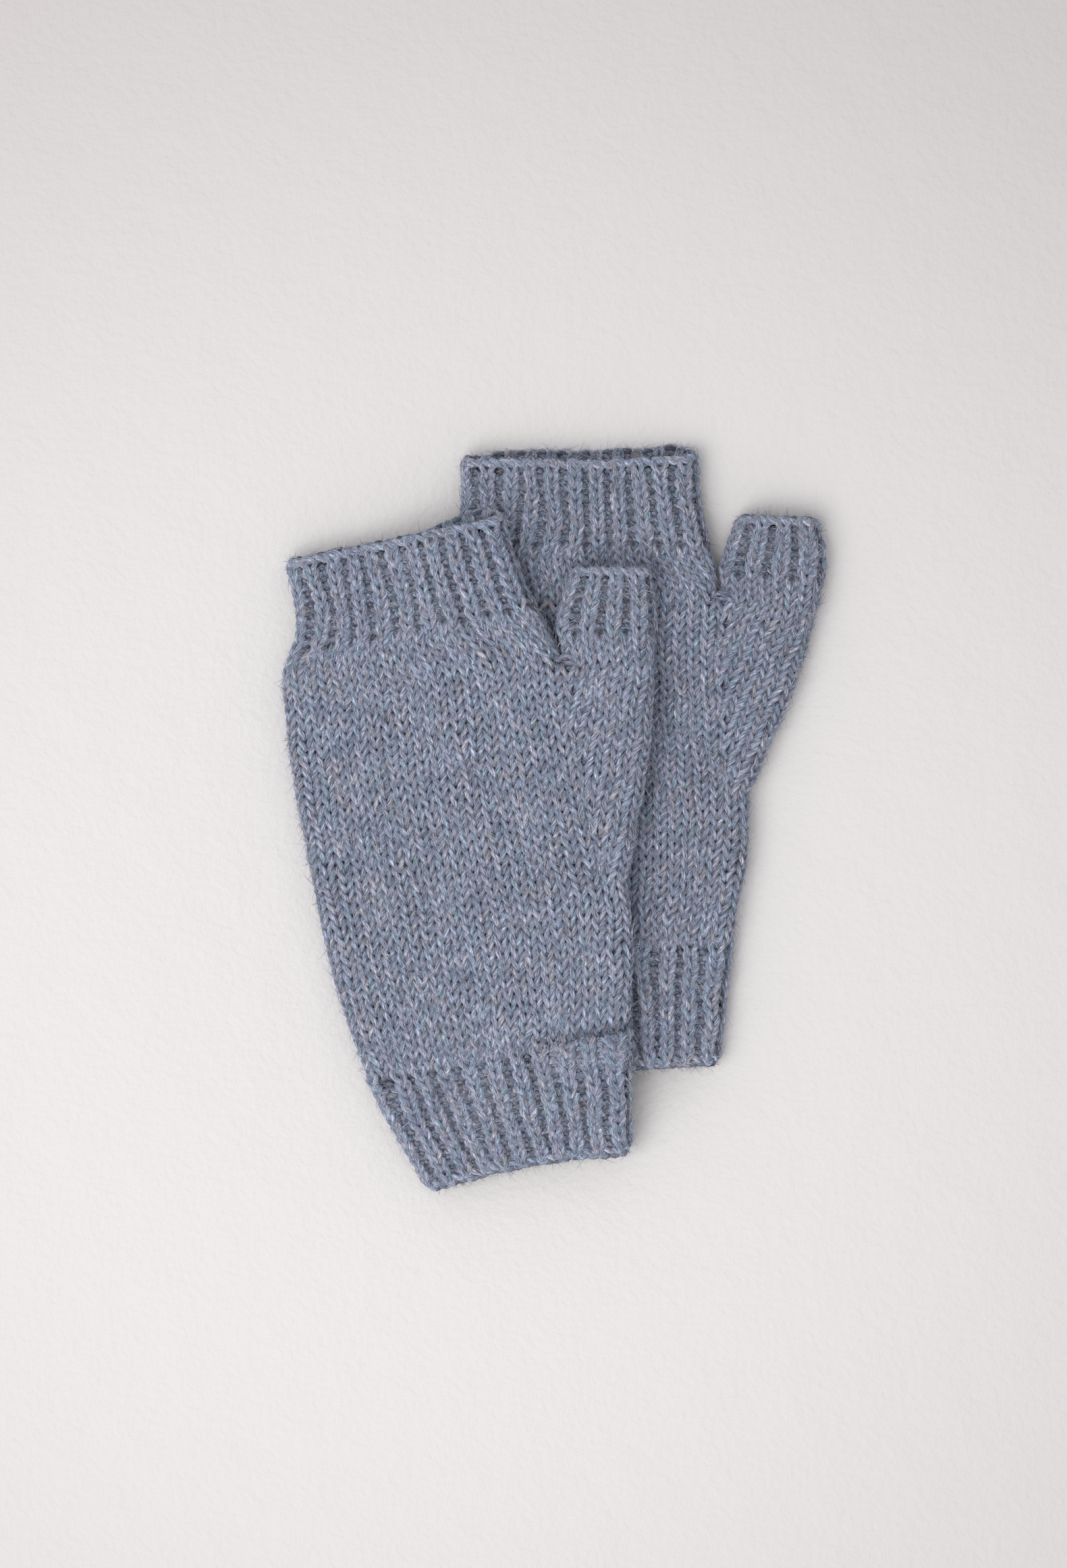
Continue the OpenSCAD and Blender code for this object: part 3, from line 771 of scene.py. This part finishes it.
def yarn_material(name, light, flank_shade):
    """Heathered wool: fibres along the yarn in blue, lavender, teal and grey, with a soft two-ply twist.
    Painted shade darkens it where it lies deep in the knitting, and painted light brightens the crests that
    stand out most and the inner sides that show. flank_shade is the painted shade's tone where it stands
    half-way out."""
    n = Nodes(name)
    uv = n.add("UVMap", uv_map="yarn").outputs[0]
    split = n.add("SeparateXYZ", {0: uv})
    along, turn = split.outputs[0], split.outputs[1]
    angle = n.maths("MULTIPLY", turn, TAU)
    twisted = n.maths("ADD", angle, n.maths("MULTIPLY", along, TAU / PLY_PITCH))
    loose = n.maths("ADD", angle, n.maths("MULTIPLY", along, TAU / FIBRE_PITCH))

    def round_yarn(stretch, key):
        """A place on the yarn for a noise, drawn out along it by 1 / stretch. key sets two noises apart."""
        x = n.maths("MULTIPLY", n.maths("COSINE", loose), YARN_R)
        y = n.maths("MULTIPLY", n.maths("SINE", loose), YARN_R)
        z = n.maths("ADD", n.maths("MULTIPLY", along, stretch), key)
        return n.add("CombineXYZ", {0: x, 1: y, 2: z}).outputs[0]

    fibres = n.noise(round_yarn(0.20, 0.0), 2.1, 3.0, 0.65)
    fine = n.noise(round_yarn(0.11, 40.0), 6.2, 2.0, 0.6)
    hue = n.noise(round_yarn(0.16, 90.0), 0.6, 2.0, 0.5)
    slowly = n.add("CombineXYZ", {0: n.maths("MULTIPLY", along, 0.012), 1: 3.0, 2: 7.0}).outputs[0]
    patch = n.noise(slowly, 1.0, 4.0, 0.7)
    colour = n.mix(1.0, n.ramp(hue, TINTS), n.ramp(fibres, FIBRE_TONES), "MULTIPLY")
    colour = n.mix(1.0, colour, n.ramp(fine, FINE_TONES), "MULTIPLY")
    slow = n.ramp(patch, [(at, tuple(c * light for c in tone)) for at, tone in SLOW_TONES])
    colour = n.mix(1.0, colour, slow, "MULTIPLY")

    hair = n.maths("GREATER_THAN", turn, HAIR_TURN - 0.5)
    each_hair = n.add("VectorMath", {0: uv, 1: (7.0, 311.0, 1.0)}, operation="MULTIPLY").outputs[0]
    tone = n.add("TexWhiteNoise", {"Vector": each_hair}, noise_dimensions="2D").outputs["Value"]
    hair_colour = n.mix(1.0, n.mix(0.25, colour, HAIR_COLOUR), n.ramp(tone, HAIR_TONES), "MULTIPLY")
    colour = n.mix(hair, colour, hair_colour)

    # painted shade and light: darker deep in the knitting and in its gaps, lighter at the legs' crests and
    # again on inner sides
    depth = n.add("Attribute", attribute_name="depth").outputs["Fac"]
    depth_shade = n.ramp(n.maths("MULTIPLY", n.maths("ADD", depth, DEPTH_FROM), DEPTH_SCALE),
                    [(0.08, (0.95, 0.95, 0.95)), (0.20, (0.60, 0.61, 0.63)), (0.34, (0.15, 0.16, 0.18)),
                     (0.47, (0.16, 0.17, 0.19)), (0.62, (0.35, 0.355, 0.37)),
                     (0.76, (flank_shade, flank_shade, 1.005 * flank_shade)), (0.90, (1.33, 1.325, 1.32))])
    colour = n.mix(1.0, colour, depth_shade, "MULTIPLY")
    halo = n.maths("GREATER_THAN", turn, HAIR_TURN + 0.999)
    colour = n.mix(n.maths("MULTIPLY", halo, 0.6), colour, HALO_COLOUR)

    groove = n.maths("POWER", n.maths("ABSOLUTE", n.maths("COSINE", twisted)), 0.55)
    height = n.maths("ADD", n.maths("MULTIPLY", groove, 0.55),
                     n.maths("ADD", n.maths("MULTIPLY", fibres, 0.55), n.maths("MULTIPLY", fine, 0.3)))
    n.finish(colour, height, 0.9, 0.0004, {"Roughness": 0.92, "Specular IOR Level": 0.2, "Sheen Weight": 0.25,
                                           "Sheen Roughness": 0.5, "Sheen Tint": (0.8, 0.85, 1.0, 1)})
    return n.mat


def floor_material():
    """Matt off-white plaster board with a faint grain; painted shade makes it a little darker and warmer away
    from a painted pool of light near the mitts.
    """
    n = Nodes("painted_board")
    at = n.add("TexCoord").outputs["Object"]
    offset = n.add("VectorMath", {0: at, 1: POOL_AT}, operation="SUBTRACT").outputs[0]
    away = n.add("VectorMath", {0: offset}, operation="LENGTH").outputs["Value"]
    dim = n.add("MapRange", {"Value": away, 1: POOL_START, 2: POOL_END},
                interpolation_type="SMOOTHSTEP").outputs[0]
    grain = n.noise(at, 420.0, 4.0, 0.6)
    broad = n.noise(at, 60.0, 3.0, 0.5)
    height = n.maths("ADD", n.maths("MULTIPLY", grain, 0.5), n.maths("MULTIPLY", broad, 0.9))
    n.finish(n.mix(dim, POOL_COLOUR, PAINTED_FALLOFF_COLOUR), height, 0.5, 0.0017,
             {"Roughness": 0.85, "Specular IOR Level": 0.25})
    return n.mat


# ---------------------------------------------------------------- camera, light and floor, m
CAMERA_H = 1.5
SHEET_AT, SHEET_TALL = (-0.0058, 0.0114), 0.4648  # the middle and the height of what the picture shows
SHEET_H = 0.012                          # how high up that is measured
WINDOW_AT, WINDOW_SIZE, WINDOW_POWER = (-0.64, -0.45, 1.40), 1.15, 15.2
FLOOR_SIZE = 3.0


def make_camera():
    """Straight down, from far away, framing the sheet that the mitts lie on."""
    data = bpy.data.cameras.new("camera")
    data.sensor_width = 36
    data.lens = data.sensor_width * (CAMERA_H - SHEET_H) / SHEET_TALL
    data.clip_end = 20
    camera = link("camera", data)
    camera.location = (*SHEET_AT, CAMERA_H)
    bpy.context.scene.camera = camera


def make_light():
    """A pale sky all round, and a large soft window on the left, nearer to the wrists."""
    world = bpy.data.worlds.new("sky")
    bpy.context.scene.world = world
    world.use_nodes = True
    sky = world.node_tree.nodes["Background"]
    sky.inputs["Color"].default_value = (0.975, 0.98, 1.0, 1)
    sky.inputs["Strength"].default_value = 0.64
    data = bpy.data.lights.new("window", "AREA")
    data.shape = "SQUARE"
    data.size = WINDOW_SIZE
    data.energy = WINDOW_POWER
    data.color = (1.0, 0.985, 0.97)
    window = link("window", data)
    window.location = WINDOW_AT
    way = -np.array(WINDOW_AT)
    yaw, tilt = math.atan2(way[1], way[0]), math.acos(-way[2] / np.linalg.norm(way))
    window.rotation_euler = (tilt, 0, yaw - math.pi / 2)


def make_floor():
    mesh = bpy.data.meshes.new("floor")
    corners = [(x * FLOOR_SIZE, y * FLOOR_SIZE, 0) for x, y in ((-1, -1), (1, -1), (1, 1), (-1, 1))]
    mesh.from_pydata(corners, [], [(0, 1, 2, 3)])
    floor = link("floor", mesh)
    floor.data.materials.append(floor_material())


def dress(piece, side, node, material):
    """Gives a piece its material and hangs it on the body it moves with; a thumb or gusset piece only gets
    its place baked in.
    """
    piece.data.materials.append(material)
    if node in ("thumb", "thumb_gusset"):
        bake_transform(piece)
    else:
        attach(piece, side + ("_thumb_stall" if node.startswith("thumb_") else "_mitt"))


FUZZ_BANDS = {                           # name: (the yarn pieces it grows from, fibres)
    "cuff_fuzz": (("wrist_cuff", "cast_on"), 14000),
    "wrist_fuzz": (("hand_wrist_half",), 14000),
    "palm_fuzz": (("hand_palm",), 14000),
    "knuckle_fuzz": (("hand_knuckles",), 14000),
    "finger_fuzz": (("finger_cuff", "finger_bind_off"), 12000),
    "gusset_fuzz": (("thumb_gusset", "thumb"), 9000),
    "thumb_fuzz": (("thumb_cuff", "thumb_bind_off"), 5000),
}


def main():
    make_camera()
    make_light()
    make_floor()
    yarns = {(side, slot): yarn_material(side + "_wool_" + kind, light * shade, flank_shade)
             for side, light in SIDE_LIGHT.items() for slot, (kind, shade, flank_shade) in KNITS.items()}
    few = 1.0
    for m in (RIGHT, LEFT):
        side = m["side"] + "_"
        pieces = knit_mitt(m)
        for name, (strands, node, slot) in pieces.items():
            piece = build(name + "_yarn", strands)
            dress(piece, m["side"], node, yarns[m["side"], slot])
            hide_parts(side + node)
        for name, (grown_on, count) in FUZZ_BANDS.items():
            strands = [s for piece in grown_on for s in pieces[side + piece][0]]
            node, slot = pieces[side + grown_on[0]][1:]
            piece = fuzz(side + name, strands, int(count * few))
            dress(piece, m["side"], node, yarns[m["side"], slot])


main()
bpy.context.scene.view_settings.view_transform = "Standard"
